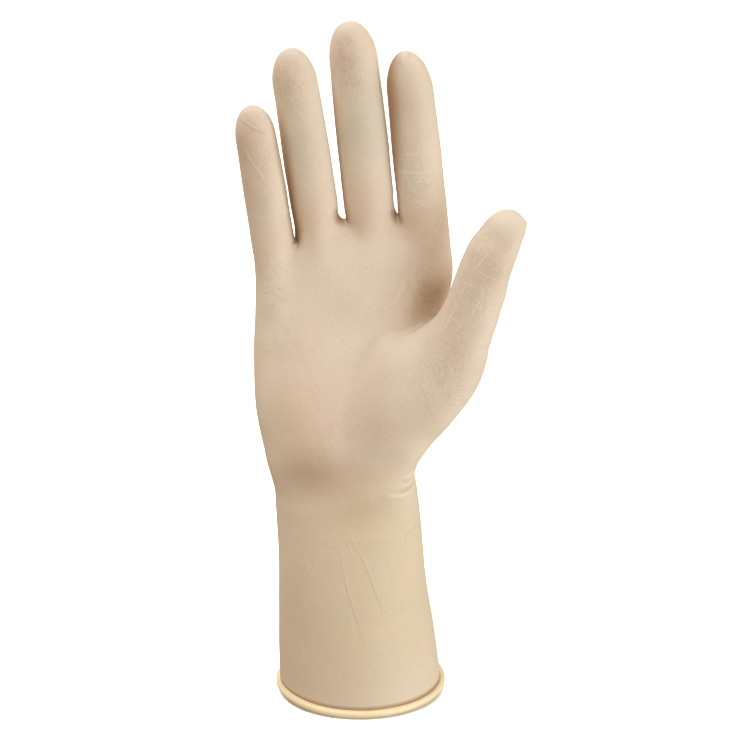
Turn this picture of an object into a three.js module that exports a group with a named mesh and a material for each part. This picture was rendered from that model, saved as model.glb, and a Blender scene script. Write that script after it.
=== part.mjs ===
// Right-hand surgical glove with a long cuff, filled out to its full form, in millimetres.
// +Z runs from the cuff's mouth to the fingertips, -Y is the palm side and +X the thumb side.
// The origin is the centre of the cuff's mouth.
//
// The dipped film is drawn over nine soft forms: cuff and palm in one, the heel of the palm, the ball
// of the thumb, the web beside it, the thumb and four fingers. Each form is a smooth spine with an
// oval section at each of its stations. Where two forms meet, their surfaces run into each other over
// a named blend. The film's net of four-sided cells is laid out finger by finger, relaxed, and drawn
// tight onto those surfaces.

import * as THREE from "three";

// Driving sizes
const cuffLength = 97; // from the mouth to the wrist crease
const cuffWidth = 71;
const cuffDepth = 66;
const palmLength = 115; // from the wrist crease to just over the webs of the fingers
const palmBreadth = 84;
const palmDepth = 28;
const fingerLength = 105.4; // of the middle finger, from its knuckle to its tip
const fingerWidth = 21.7; // of the middle finger
const thumbWidth = 22;
const filmWall = 1;
const beadDiameter = 3.4;
const beadStandOff = 0.5; // from the film's outer face to the middle of the bead
const clearance = 0.3; // between the film's edge and the bead

// Pose, in degrees
const wristExtension = 7; // the palm leans back from the cuff
const mouthTilt = 4; // the mouth hangs lower on the palm side

// How far one form's surface runs into the next
const fingerBlend = 5;
const heelBlend = 14;
const thumbBlend = 12;
const moundBlend = 7;

// Cells of the film's net
const cellsPerFinger = 4; // across one finger's palm side
const cellsPerWeb = 3; // through a web, from the palm side to the back
const thumbRootColumns = 6;
const thumbRootRows = 7;
const tubeRings = 15; // along one finger
const lastRingShare = 1.55; // the last of them lies this far up; what is over 1 is on the rounded tip
const ringCrowding = 1.15; // over 1, rings lie closer at the finger's root
const beadSides = 10;
const relaxing = 12; // rounds
const slide = 0.45; // share of the way to the middle of its neighbours that a corner goes in one round

const radians = THREE.MathUtils.degToRad;
const point = (x, y, z) => new THREE.Vector3(x, y, z);

// Cuff and palm. Shares are of the cuff's length, width and depth, and of the palm's length, breadth
// and depth. "little" and "thumb" are the distances of the little finger's and the thumb's side from
// the middle line, "palmar" and "dorsal" those of the front and back. "square" is 2 for an oval.
const CUFF_SECTIONS = [
  { along: 0.0, little: 0.505, thumb: 0.498, palmar: 0.5, dorsal: 0.5, square: 2.0 },
  { along: 0.24, little: 0.504, thumb: 0.458, palmar: 0.465, dorsal: 0.465, square: 2.0 },
  { along: 0.45, little: 0.503, thumb: 0.41, palmar: 0.42, dorsal: 0.42, square: 2.05 },
  { along: 0.7, little: 0.511, thumb: 0.378, palmar: 0.37, dorsal: 0.37, square: 2.15 },
  { along: 0.9, little: 0.523, thumb: 0.35, palmar: 0.33, dorsal: 0.33, square: 2.25 },
];
const PALM_SECTIONS = [
  { along: 0.0, little: 0.45, thumb: 0.279, palmar: 0.7, dorsal: 0.71, square: 2.3 },
  { along: 0.1, little: 0.485, thumb: 0.3, palmar: 0.62, dorsal: 0.67, square: 2.4 },
  { along: 0.23, little: 0.52, thumb: 0.36, palmar: 0.53, dorsal: 0.6, square: 2.5 },
  { along: 0.4, little: 0.535, thumb: 0.42, palmar: 0.43, dorsal: 0.54, square: 2.5 },
  { along: 0.57, little: 0.53, thumb: 0.435, palmar: 0.4, dorsal: 0.49, square: 2.5 },
  { along: 0.7, little: 0.525, thumb: 0.425, palmar: 0.42, dorsal: 0.44, square: 2.5 },
  { along: 0.78, little: 0.515, thumb: 0.415, palmar: 0.42, dorsal: 0.34, square: 2.5 },
  { along: 0.845, little: 0.51, thumb: 0.4, palmar: 0.385, dorsal: 0.24, square: 2.5 },
];
const palmEnd = 0.06; // the rounded edge between the fingers, as a share of the palm's length
const palmTop = 0.92; // height of the fingers' webs, as a share of the palm's length
const palmSlant = 0.2; // the webs rise towards the thumb side, per millimetre across

// Heel of the palm under the little finger, in shares of the palm's breadth, depth and length
const HEEL_SECTIONS = [
  { x: -0.24, y: -0.18, z: 0.14, wide: 0.17, palmar: 0.42, dorsal: 0.3 },
  { x: -0.3, y: -0.22, z: 0.3, wide: 0.175, palmar: 0.48, dorsal: 0.35 },
  { x: -0.325, y: -0.16, z: 0.5, wide: 0.135, palmar: 0.38, dorsal: 0.35 },
];
const heelEnd = 0.75; // its rounded end, as a share of the palm's depth

// Fingers, from the little finger to the index. "knuckle" is a share of the palm's breadth,
// "forward" of its depth and "root" of its length. "reach" and "width" are shares of the middle
// finger's. Lean is degrees towards the little finger, and curl degrees towards the palm.
const FINGERS = [
  { knuckle: -0.403, root: 0.67, forward: -0.06, reach: 0.827, width: 0.843, lean: 7.7, curl: 12 },
  { knuckle: -0.183, root: 0.77, forward: 0.02, reach: 0.935, width: 0.931, lean: 8.2, curl: 9 },
  { knuckle: 0.077, root: 0.8, forward: 0.04, reach: 1, width: 1, lean: 6.0, curl: 8 },
  { knuckle: 0.352, root: 0.765, forward: 0.0, reach: 0.922, width: 0.959, lean: 6.3, curl: 8 },
];
const fingerTip = 0.82; // a finger's rounded tip, as a share of its width

// One finger from its knuckle to the start of its rounded tip. Sizes are shares of half the finger's
// width, and curl is a share of the finger's curl.
const FINGER_SECTIONS = [
  { along: 0.0, wide: 0.97, palmar: 0.95, dorsal: 1.18, curl: 0.0 },
  { along: 0.18, wide: 0.98, palmar: 0.98, dorsal: 0.95, curl: 0.1 },
  { along: 0.36, wide: 1.0, palmar: 0.98, dorsal: 0.83, curl: 0.3 },
  { along: 0.48, wide: 1.0, palmar: 0.93, dorsal: 0.84, curl: 0.6 },
  { along: 0.6, wide: 1.01, palmar: 0.84, dorsal: 0.93, curl: 0.9 },
  { along: 0.74, wide: 0.99, palmar: 0.87, dorsal: 0.8, curl: 1.1 },
  { along: 0.88, wide: 0.96, palmar: 0.8, dorsal: 0.8, curl: 1.5 },
  { along: 1.0, wide: 0.94, palmar: 0.82, dorsal: 0.68, curl: 1.7 },
];

// Ball of the thumb, in shares of the palm; its top stands over the hollow of the palm
const BALL_SECTIONS = [
  { x: 0.07, y: -0.22, z: 0.12, wide: 0.17, palmar: 0.45, dorsal: 0.4 },
  { x: 0.16, y: -0.38, z: 0.28, wide: 0.2, palmar: 0.5, dorsal: 0.5 },
  { x: 0.24, y: -0.45, z: 0.42, wide: 0.18, palmar: 0.48, dorsal: 0.45 },
];
const ballEnd = 0.5; // its rounded end, as a share of the palm's depth

// Web between the thumb and the palm, from front to back, in shares of the palm. Here "palmar" is the
// reach upwards and "dorsal" the reach downwards.
const WEB_SECTIONS = [
  { x: 0.45, y: -0.7, z: 0.46, wide: 0.1, palmar: 0.5, dorsal: 0.6 },
  { x: 0.4, y: -0.35, z: 0.44, wide: 0.075, palmar: 0.42, dorsal: 0.6 },
  { x: 0.34, y: 0.05, z: 0.46, wide: 0.09, palmar: 0.5, dorsal: 0.6 },
];
const webEnd = 0.2; // its rounded ends, as a share of the palm's depth

// Thumb from its root in the palm, placed in shares of the palm. Sizes are shares of the thumb's width.
const THUMB_SECTIONS = [
  { x: 0.185, y: -0.2, z: 0.19, wide: 0.66, palmar: 0.5, dorsal: 0.5 },
  { x: 0.335, y: -0.48, z: 0.34, wide: 0.8, palmar: 0.6, dorsal: 0.56 },
  { x: 0.46, y: -0.7, z: 0.49, wide: 0.74, palmar: 0.58, dorsal: 0.53 },
  { x: 0.545, y: -0.86, z: 0.63, wide: 0.58, palmar: 0.53, dorsal: 0.47 },
  { x: 0.595, y: -1.0, z: 0.765, wide: 0.52, palmar: 0.46, dorsal: 0.43 },
  { x: 0.65, y: -1.1, z: 0.87, wide: 0.51, palmar: 0.44, dorsal: 0.35 },
  { x: 0.695, y: -1.15, z: 0.93, wide: 0.46, palmar: 0.37, dorsal: 0.3 },
];
const thumbTurn = 40; // degrees by which the thumb's back faces outwards
const thumbTip = 0.6; // its rounded tip, as a share of the thumb's width

// Rings of the cuff and palm, in shares of their lengths, closer where the film folds
const CUFF_RINGS = [
  0, 0.08, 0.16, 0.24, 0.32, 0.4, 0.48, 0.56, 0.64, 0.71, 0.78, 0.84, 0.89, 0.93, 0.965,
];
const PALM_RINGS = [
  0, 0.035, 0.07, 0.11, 0.16, 0.22, 0.28, 0.34, 0.4, 0.46, 0.52, 0.58, 0.65, 0.72, 0.79, 0.85, 0.91,
];

const farAway = 25; // beyond this, a form's distance is taken from its box
const palmHeight = (share) => cuffLength + share * palmLength;

// A soft form: oval sections on a smooth spine. "end" and "start" are the reaches of its rounded ends.
class Form {
  constructor(stations, { across = point(1, 0, 0), end, start = end }) {
    const smooth = (points) => new THREE.CatmullRomCurve3(points, false, "catmullrom");
    const centres = smooth(stations.map((s) => s.centre));
    const sizes = smooth(stations.map((s) => point(s.wide, s.palmar, s.dorsal)));
    const powers = stations.map((s) => s.square ?? 2);
    const steps = 6 * (stations.length - 1);
    this.end = end;
    this.start = start;
    this.across = across;
    this.samples = Array.from({ length: steps + 1 }, (_, i) => {
      const share = i / steps;
      const place = share * (powers.length - 1);
      const below = Math.min(Math.floor(place), powers.length - 2);
      return {
        centre: centres.getPoint(share),
        size: sizes.getPoint(share),
        power: THREE.MathUtils.lerp(powers[below], powers[below + 1], place - below),
        ...this.frame(centres.getTangent(share)),
      };
    });
    this.bounds = new THREE.Box3().setFromPoints(this.samples.map((s) => s.centre));
    this.bounds.expandByScalar(Math.max(...stations.map((s) => s.wide)));
  }

  // Directions along the form, across it and towards its back
  frame(along) {
    const side = this.across.clone().addScaledVector(along, -this.across.dot(along)).normalize();
    return { along, side, back: along.clone().cross(side) };
  }

  // The section at a share of the spine, with its directions
  section(share) {
    const place = THREE.MathUtils.clamp(share, 0, 1) * (this.samples.length - 1);
    const below = Math.min(Math.floor(place), this.samples.length - 2);
    const [a, b] = [this.samples[below], this.samples[below + 1]];
    const t = place - below;
    return {
      centre: a.centre.clone().lerp(b.centre, t),
      size: a.size.clone().lerp(b.size, t),
      ...this.frame(a.along.clone().lerp(b.along, t).normalize()),
    };
  }

  // Share of the spine at a height
  shareAt(height) {
    const last = this.samples.length - 1;
    const above = this.samples.findIndex((s) => s.centre.z >= height);
    if (above < 1) return above < 0 ? 1 : 0;
    const [a, b] = [this.samples[above - 1].centre.z, this.samples[above].centre.z];
    return (above - 1 + (height - a) / (b - a)) / last;
  }

  // A point of a section's outline. The angle turns from the direction across towards the back.
  // A share over 1 is a share of the way over the rounded end.
  rim(share, angle) {
    const s = this.section(share);
    const depth = Math.sin(angle) < 0 ? s.size.y : s.size.z;
    const over = Math.max(share - 1, 0) * (Math.PI / 2);
    return s.centre
      .addScaledVector(s.side, s.size.x * Math.cos(angle) * Math.cos(over))
      .addScaledVector(s.back, depth * Math.sin(angle) * Math.cos(over))
      .addScaledVector(s.along, over ? this.end * Math.sin(over) : 0);
  }

  // Distance from the form's surface to a point, less than 0 inside
  distance(p) {
    const apart = this.bounds.distanceToPoint(p);
    if (apart > farAway) return apart;
    const { a, b, t } = this.nearest(p);
    const offset = p.clone().sub(a.centre.clone().lerp(b.centre, t));
    const dot = (name) => THREE.MathUtils.lerp(offset.dot(a[name]), offset.dot(b[name]), t);
    const [u, v, w] = [dot("side"), dot("back"), dot("along")];
    const size = a.size.clone().lerp(b.size, t);
    const power = THREE.MathUtils.lerp(a.power, b.power, t);
    const depth = v < 0 ? size.y : size.z;
    const oval = (Math.abs(u) / size.x) ** power + (Math.abs(v) / depth) ** power;
    const reach = w > 0 ? this.end : this.start;
    const rounded = Number.isFinite(reach);
    const scale = Math.sqrt(oval ** (2 / power) + (rounded ? (w / reach) ** 2 : 0));
    const length = rounded ? offset.length() : Math.hypot(u, v);
    return scale < 1e-6 ? -size.x : length * (1 - 1 / scale);
  }

  // The two samples whose stretch of the spine is nearest to a point, and the share of the way
  nearest(p) {
    let best = { gap: Infinity };
    for (let i = 0; i < this.samples.length - 1; i++) {
      const [a, b] = [this.samples[i], this.samples[i + 1]];
      const [dx, dy, dz] = [b.centre.x - a.centre.x, b.centre.y - a.centre.y, b.centre.z - a.centre.z];
      const [px, py, pz] = [p.x - a.centre.x, p.y - a.centre.y, p.z - a.centre.z];
      const share = (px * dx + py * dy + pz * dz) / (dx * dx + dy * dy + dz * dz);
      const t = THREE.MathUtils.clamp(share, 0, 1);
      const gap = (px - t * dx) ** 2 + (py - t * dy) ** 2 + (pz - t * dz) ** 2;
      if (gap < best.gap) best = { a, b, t, gap };
    }
    return best;
  }
}

const trunkStation = (row, height, width, depth) => ({
  centre: point(((row.thumb - row.little) / 2) * width, 0, height),
  wide: ((row.thumb + row.little) / 2) * width,
  palmar: row.palmar * depth,
  dorsal: row.dorsal * depth,
  square: row.square,
});
const trunk = new Form(
  [
    ...CUFF_SECTIONS.map((r) => trunkStation(r, r.along * cuffLength, cuffWidth, cuffDepth)),
    ...PALM_SECTIONS.map((r) => trunkStation(r, palmHeight(r.along), palmBreadth, palmDepth)),
  ],
  { end: palmEnd * palmLength, start: Infinity },
);

const palmStation = (row, width, depth) => ({
  centre: point(row.x * palmBreadth, row.y * palmDepth, palmHeight(row.z)),
  wide: row.wide * width,
  palmar: row.palmar * depth,
  dorsal: row.dorsal * depth,
});
const heel = new Form(
  HEEL_SECTIONS.map((r) => palmStation(r, palmBreadth, palmDepth)),
  { end: heelEnd * palmDepth },
);
const ball = new Form(
  BALL_SECTIONS.map((r) => palmStation(r, palmBreadth, palmDepth)),
  { end: ballEnd * palmDepth },
);
const web = new Form(
  WEB_SECTIONS.map((r) => palmStation(r, palmBreadth, palmDepth)),
  { end: webEnd * palmDepth },
);
const thumb = new Form(
  THUMB_SECTIONS.map((r) => palmStation(r, thumbWidth, thumbWidth)),
  {
    across: point(Math.cos(radians(thumbTurn)), -Math.sin(radians(thumbTurn)), 0),
    end: thumbTip * thumbWidth,
  },
);

// A finger's spine, stepped from station to station while it curls towards the palm
function makeFinger(finger) {
  const width = finger.width * fingerWidth;
  const shaft = finger.reach * fingerLength - fingerTip * width;
  const half = width / 2;
  const centre = point(
    finger.knuckle * palmBreadth,
    finger.forward * palmDepth,
    palmHeight(finger.root),
  );
  const stations = FINGER_SECTIONS.map((row, i) => {
    const step = i ? (row.along - FINGER_SECTIONS[i - 1].along) * shaft : 0;
    const curl = radians(row.curl * finger.curl);
    const lean = radians(finger.lean);
    centre.x -= step * Math.sin(lean) * Math.cos(curl);
    centre.y -= step * Math.sin(curl);
    centre.z += step * Math.cos(lean) * Math.cos(curl);
    return {
      centre: centre.clone(),
      wide: row.wide * half,
      palmar: row.palmar * half,
      dorsal: row.dorsal * half,
    };
  });
  return new Form(stations, { end: fingerTip * width, start: half });
}
const fingers = FINGERS.map(makeFinger);

// Runs two surfaces into each other over a reach
function blend(a, b, reach) {
  const overlap = Math.max(reach - Math.abs(a - b), 0) / reach;
  return Math.min(a, b) - (overlap ** 2 * reach) / 4;
}

// Distance from the glove's surface to a point, less than 0 inside. The ball of the thumb and its web
// swell from nothing while the net is drawn over them.
let swelling = 0;
function gloveDistance(p) {
  const slanted = p.clone();
  slanted.z -= palmSlant * p.x * THREE.MathUtils.smoothstep(p.z, palmHeight(0.5), palmHeight(1));
  const palm = blend(trunk.distance(slanted), heel.distance(p), heelBlend);
  const flat = (1 - swelling) * palmDepth;
  const rooted = blend(ball.distance(p) + flat, thumb.distance(p), thumbBlend);
  const mound = blend(rooted, web.distance(p) + flat, thumbBlend);
  const withThumb = blend(palm, mound, moundBlend);
  return blend(withThumb, Math.min(...fingers.map((f) => f.distance(p))), fingerBlend);
}

// Direction in which that distance grows, and how fast
function outwards(p) {
  const nudge = 0.02;
  const here = gloveDistance(p);
  const slope = (axis) => {
    const moved = p.clone();
    moved[axis] += nudge;
    return (gloveDistance(moved) - here) / nudge;
  };
  return point(slope("x"), slope("y"), slope("z"));
}

// The film's net: corner points and the four-sided cells between them
const corners = [];
const cells = [];
const addCorner = (p) => corners.push(p) - 1;
const addCell = (a, b, c, d) => cells.push([a, b, c, d]);

// Joins two loops of corners, the second one further along the form
function joinLoops(lower, upper) {
  lower.forEach((_, i) => {
    const next = (i + 1) % lower.length;
    addCell(lower[i], lower[next], upper[next], upper[i]);
  });
}

// Grows a form's film from a loop on the palm, ring by ring, and closes its tip with a grid.
// The loop starts at the first corner of a grid of columns by rows, whose first row faces "middle".
function growFilm(root, form, { from, merge, columns, rows, middle }) {
  const turn = (2 * Math.PI) / root.length;
  const first = middle - (columns / 2) * turn;
  let loop = root;
  for (let ring = 1; ring <= tubeRings; ring++) {
    const share = THREE.MathUtils.lerp(from, lastRingShare, (ring / tubeRings) ** ringCrowding);
    const next = root.map((corner, i) => {
      const rim = form.rim(share, first + i * turn);
      return addCorner(corners[corner].clone().lerp(rim, Math.min(ring / merge, 1)));
    });
    joinLoops(loop, next);
    loop = next;
  }
  closeTip(loop, form, columns, rows);
}

// Closes a loop with a grid of cells that is drawn out towards the form's end
function closeTip(loop, form, columns, rows) {
  const tip = form.section(1);
  const apex = tip.centre.addScaledVector(tip.along, form.end);
  const grid = [];
  for (let r = 0; r <= rows; r++) {
    grid.push([]);
    for (let c = 0; c <= columns; c++) {
      if (r === 0) grid[r].push(loop[c]);
      else if (c === columns) grid[r].push(loop[columns + r]);
      else if (r === rows) grid[r].push(loop[2 * columns + rows - c]);
      else if (c === 0) grid[r].push(loop[loop.length - r]);
      else {
        const near = corners[loop[c]];
        const far = corners[loop[2 * columns + rows - c]];
        const inner = near.clone().lerp(far, r / rows);
        const margin = Math.min(c / columns, 1 - c / columns, r / rows, 1 - r / rows);
        grid[r].push(addCorner(inner.lerp(apex, margin)));
      }
    }
  }
  for (let r = 0; r < rows; r++)
    for (let c = 0; c < columns; c++)
      addCell(grid[r][c], grid[r][c + 1], grid[r + 1][c + 1], grid[r + 1][c]);
}

const beadRadius = beadDiameter / 2;
const edgeGap = Math.sqrt(beadRadius ** 2 - beadStandOff ** 2) + clearance;
const filmEdge = beadRadius + edgeGap; // height of the film's lower edge over the bead's underside

const frontCorners = cellsPerFinger * FINGERS.length;
const ringSize = 2 * (frontCorners + cellsPerWeb);
const trunkTurn = (2 * Math.PI) / ringSize;
const trunkFirst = -Math.PI / 2 - (frontCorners / 2) * trunkTurn;
const ringHeights = [
  ...CUFF_RINGS.map((s) => filmEdge + s * (cuffLength - filmEdge)),
  ...PALM_RINGS.map(palmHeight),
];

// The thumb's root is a window in the palm's film, on its thumb side. It has no corners inside.
const rootRight = frontCorners - 1;
const rootLeft = rootRight - thumbRootColumns;
const rootBottom = CUFF_RINGS.length + 3;
const rootTop = rootBottom + thumbRootRows;
const inRoot = (ring, i) => ring >= rootBottom && ring < rootTop && i >= rootLeft && i < rootRight;
const trunkRings = ringHeights.map((height, ring) =>
  Array.from({ length: ringSize }, (_, i) => {
    if (inRoot(ring, i) && inRoot(ring - 1, i - 1)) return null;
    return addCorner(trunk.rim(trunk.shareAt(height), trunkFirst + i * trunkTurn).setZ(height));
  }),
);
for (let ring = 0; ring < trunkRings.length - 1; ring++)
  for (let i = 0; i < ringSize; i++) {
    if (inRoot(ring, i)) continue;
    const next = (i + 1) % ringSize;
    const [lower, upper] = [trunkRings[ring], trunkRings[ring + 1]];
    addCell(lower[i], lower[next], upper[next], upper[i]);
  }
const thumbRoot = [];
for (let i = rootLeft; i < rootRight; i++) thumbRoot.push(trunkRings[rootBottom][i]);
for (let r = rootBottom; r < rootTop; r++) thumbRoot.push(trunkRings[r][rootRight]);
for (let i = rootRight; i > rootLeft; i--) thumbRoot.push(trunkRings[rootTop][i]);
for (let r = rootTop; r > rootBottom; r--) thumbRoot.push(trunkRings[r][rootLeft]);
growFilm(thumbRoot, thumb, {
  from: 0.3,
  merge: 4,
  columns: thumbRootColumns,
  rows: thumbRootRows,
  middle: radians(-45),
});

// The palm's last ring is parted into four finger roots by the webs between them
const lastRing = trunkRings.at(-1);
const frontAt = (i) => lastRing[i];
const backAt = (i) => lastRing[2 * frontCorners + cellsPerWeb - i];
const webs = [];
for (let gap = 0; gap <= FINGERS.length; gap++) {
  const i = gap * cellsPerFinger;
  const chain = [];
  for (let step = 1; step < cellsPerWeb; step++) {
    if (gap === 0) chain.push(lastRing[ringSize - step]);
    else if (gap === FINGERS.length) chain.push(lastRing[frontCorners + step]);
    else {
      const mid = corners[frontAt(i)].clone().lerp(corners[backAt(i)], step / cellsPerWeb);
      chain.push(addCorner(mid.setZ(palmHeight(palmTop) + palmSlant * mid.x)));
    }
  }
  webs.push(chain);
}
fingers.forEach((form, f) => {
  const [left, right] = [f * cellsPerFinger, (f + 1) * cellsPerFinger];
  const root = [];
  for (let i = left; i <= right; i++) root.push(frontAt(i));
  root.push(...webs[f + 1]);
  for (let i = right; i >= left; i--) root.push(backAt(i));
  root.push(...webs[f].toReversed());
  growFilm(root, form, {
    from: form.shareAt(palmHeight(palmTop) + palmSlant * form.section(0).centre.x),
    merge: 1,
    columns: cellsPerFinger,
    rows: cellsPerWeb,
    middle: radians(-90),
  });
});

// Relaxes the net and draws it tight: each corner slides along the surface towards the middle of its
// neighbours and then back onto the surface. The film's edge keeps its height.
const neighbours = corners.map(() => new Set());
for (const cell of cells)
  cell.forEach((corner, i) => {
    neighbours[corner].add(cell[(i + 1) % 4]);
    neighbours[cell[(i + 1) % 4]].add(corner);
  });
const onEdge = new Set(trunkRings[0]);
function drawTight(corner) {
  const p = corners[corner];
  const away = outwards(p);
  p.addScaledVector(away, -gloveDistance(p) / away.lengthSq());
  if (onEdge.has(corner)) p.z = filmEdge;
}
corners.forEach((_, i) => drawTight(i));
for (let round = 0; round < relaxing; round++) {
  swelling = Math.min((1.5 * (round + 1)) / relaxing, 1);
  const middles = corners.map((_, i) => {
    const sum = point(0, 0, 0);
    for (const n of neighbours[i]) sum.add(corners[n]);
    return sum.divideScalar(neighbours[i].size);
  });
  corners.forEach((p, i) => {
    if (onEdge.has(i)) return;
    const normal = outwards(p).normalize();
    const move = middles[i].sub(p);
    move.addScaledVector(normal, -move.dot(normal));
    p.addScaledVector(move, slide);
    drawTight(i);
  });
}
corners.forEach((_, i) => drawTight(i));

// Poses a point: the mouth hangs low on the palm side, and the palm leans back at the wrist
const mouthReach = 0.5 * cuffLength;
const bendReach = 0.2 * cuffLength;
function pose(p) {
  const { smoothstep } = THREE.MathUtils;
  const hanging = Math.tan(radians(mouthTilt)) * (1 - smoothstep(p.z, 0, mouthReach));
  const bent = smoothstep(p.z, cuffLength - bendReach, cuffLength + bendReach);
  const pivot = point(0, 0, cuffLength);
  return point(p.x, p.y, p.z + hanging * p.y)
    .sub(pivot)
    .applyAxisAngle(point(1, 0, 0), -radians(wristExtension) * bent)
    .add(pivot);
}

// A closed mesh from corner points and four-sided cells
function closedGeometry(points, quads) {
  const geometry = new THREE.BufferGeometry();
  const positions = points.flatMap((p) => p.toArray());
  geometry.setAttribute("position", new THREE.Float32BufferAttribute(positions, 3));
  geometry.setIndex(quads.flatMap(([a, b, c, d]) => [a, b, c, a, c, d]));
  geometry.computeVertexNormals();
  return geometry;
}

// The film: the net is its outer face, and the inner face lies one wall inside it
function makeFilm() {
  const inner = corners.map((p) => p.clone().addScaledVector(outwards(p).normalize(), -filmWall));
  onEdge.forEach((i) => inner[i].setZ(filmEdge));
  const count = corners.length;
  const inside = cells.map(([a, b, c, d]) => [d + count, c + count, b + count, a + count]);
  const edge = trunkRings[0];
  const lip = edge.map((corner, i) => {
    const next = edge[(i + 1) % edge.length];
    return [next, corner, corner + count, next + count];
  });
  return closedGeometry([...corners, ...inner].map(pose), [...cells, ...inside, ...lip]);
}

// The rolled bead: a round roll of film that runs round the mouth, under the film's edge
function makeBead() {
  const points = [];
  const quads = [];
  const mouth = trunk.section(0);
  for (let i = 0; i < ringSize; i++) {
    const angle = trunkFirst + i * trunkTurn;
    const rim = trunk.rim(0, angle);
    const depth = Math.sin(angle) < 0 ? mouth.size.y : mouth.size.z;
    const outward = point(Math.cos(angle) / mouth.size.x, Math.sin(angle) / depth, 0);
    outward.normalize();
    for (let side = 0; side < beadSides; side++) {
      const roll = (side / beadSides) * 2 * Math.PI;
      const p = rim.clone().addScaledVector(outward, beadStandOff + beadRadius * Math.cos(roll));
      points.push(pose(p.setZ(beadRadius + beadRadius * Math.sin(roll))));
      const [next, nextSide] = [(i + 1) % ringSize, (side + 1) % beadSides];
      quads.push([
        i * beadSides + side,
        next * beadSides + side,
        next * beadSides + nextSide,
        i * beadSides + nextSide,
      ]);
    }
  }
  return closedGeometry(points, quads);
}

const latex = new THREE.MeshStandardMaterial({ color: 0xd8c3a2, roughness: 0.55, metalness: 0 });
const rolledLatex = new THREE.MeshStandardMaterial({ color: 0xf4dca6, roughness: 0.4, metalness: 0 });
const film = new THREE.Mesh(makeFilm(), latex);
film.name = "glove_film";
const bead = new THREE.Mesh(makeBead(), rolledLatex);
bead.name = "cuff_bead";

const glove = new THREE.Group();
glove.add(film, bead);
export default glove;
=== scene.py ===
"""A right-hand surgical glove of thin latex, dressed for its picture.

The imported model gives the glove's form. Over it lies a finer film with the folds, creases and soft
dents that dipped latex shows, and a rolled bead round its mouth. Both get a latex finish, and they
stand on a plain pale floor under soft studio light.
"""

import logging
import math
from dataclasses import dataclass, field, replace
from enum import Enum

import bmesh
import bpy
import numpy as np
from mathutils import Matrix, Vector, noise
from mathutils.bvhtree import BVHTree


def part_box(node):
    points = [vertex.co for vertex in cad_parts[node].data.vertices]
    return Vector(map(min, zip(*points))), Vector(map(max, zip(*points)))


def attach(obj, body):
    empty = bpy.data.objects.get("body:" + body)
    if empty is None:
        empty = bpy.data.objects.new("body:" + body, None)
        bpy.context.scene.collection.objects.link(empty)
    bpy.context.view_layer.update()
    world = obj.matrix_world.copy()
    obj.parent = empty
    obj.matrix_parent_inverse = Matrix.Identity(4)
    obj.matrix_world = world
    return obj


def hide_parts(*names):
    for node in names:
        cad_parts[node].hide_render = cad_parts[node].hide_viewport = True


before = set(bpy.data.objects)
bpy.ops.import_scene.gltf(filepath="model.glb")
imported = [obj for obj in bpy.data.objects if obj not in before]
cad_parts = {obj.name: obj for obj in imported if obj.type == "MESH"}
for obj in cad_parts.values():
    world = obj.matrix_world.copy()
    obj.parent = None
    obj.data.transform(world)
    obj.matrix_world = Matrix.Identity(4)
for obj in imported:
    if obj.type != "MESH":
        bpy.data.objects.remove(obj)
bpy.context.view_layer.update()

MM = 0.001
LOG = logging.getLogger("glove")

Point = tuple[float, float, float]
Colour = tuple[float, float, float, float]


# Mesh work that every piece uses


def alone(piece: bpy.types.Object) -> None:
    """Selects one object and nothing else, and makes it active.

    Args:
        piece: The object to work on.
    """
    if bpy.context.object and bpy.context.object.mode != "OBJECT":
        bpy.ops.object.mode_set(mode="OBJECT")
    bpy.ops.object.select_all(action="DESELECT")
    piece.select_set(True)
    bpy.context.view_layer.objects.active = piece


def copied(node: str, name: str) -> bpy.types.Object:
    """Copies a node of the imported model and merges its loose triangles.

    Args:
        node: The node's name.
        name: The copy's name.

    Returns:
        The copy, a closed mesh of mostly four-sided faces.
    """
    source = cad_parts[node]
    piece = bpy.data.objects.new(name, source.data.copy())
    bpy.context.scene.collection.objects.link(piece)
    alone(piece)
    piece.data.materials.clear()
    bpy.ops.mesh.customdata_custom_splitnormals_clear()
    bpy.ops.object.mode_set(mode="EDIT")
    bpy.ops.mesh.select_all(action="SELECT")
    bpy.ops.mesh.remove_doubles(threshold=0.01 * MM)
    bpy.ops.mesh.tris_convert_to_quads(
        face_threshold=math.pi, shape_threshold=math.pi, topology_influence=1.0
    )
    bpy.ops.object.mode_set(mode="OBJECT")
    return piece


def vectors(items: bpy.types.bpy_prop_collection, what: str) -> np.ndarray:
    """Reads one vector of each vertex or face.

    Args:
        items: The vertices, their normals or the faces of a mesh.
        what: The vector's name.

    Returns:
        One row of x, y and z for each.
    """
    rows = np.empty(len(items) * 3, np.float32)
    items.foreach_get(what, rows)
    return rows.reshape(-1, 3).astype(float)


def places(piece: bpy.types.Object) -> np.ndarray:
    """Reads where a piece's vertices are, in metres."""
    return vectors(piece.data.vertices, "co")


def facings(piece: bpy.types.Object) -> np.ndarray:
    """Reads the directions in which a piece's vertices face."""
    return vectors(piece.data.vertex_normals, "vector")


def put(piece: bpy.types.Object, rows: np.ndarray) -> None:
    """Writes a piece's vertices.

    Args:
        piece: A mesh object at the origin.
        rows: One row of x, y and z in metres for each vertex.
    """
    piece.data.vertices.foreach_set("co", rows.astype(np.float32).ravel())
    piece.data.update()


def mark(piece: bpy.types.Object, name: str, values: np.ndarray) -> None:
    """Stores a value at each vertex for the finish to read.

    Args:
        piece: A mesh object.
        name: The attribute's name.
        values: One number for each vertex.
    """
    layer = piece.data.attributes.new(name, "FLOAT", "POINT")
    layer.data.foreach_set("value", values.astype(np.float32))


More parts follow.
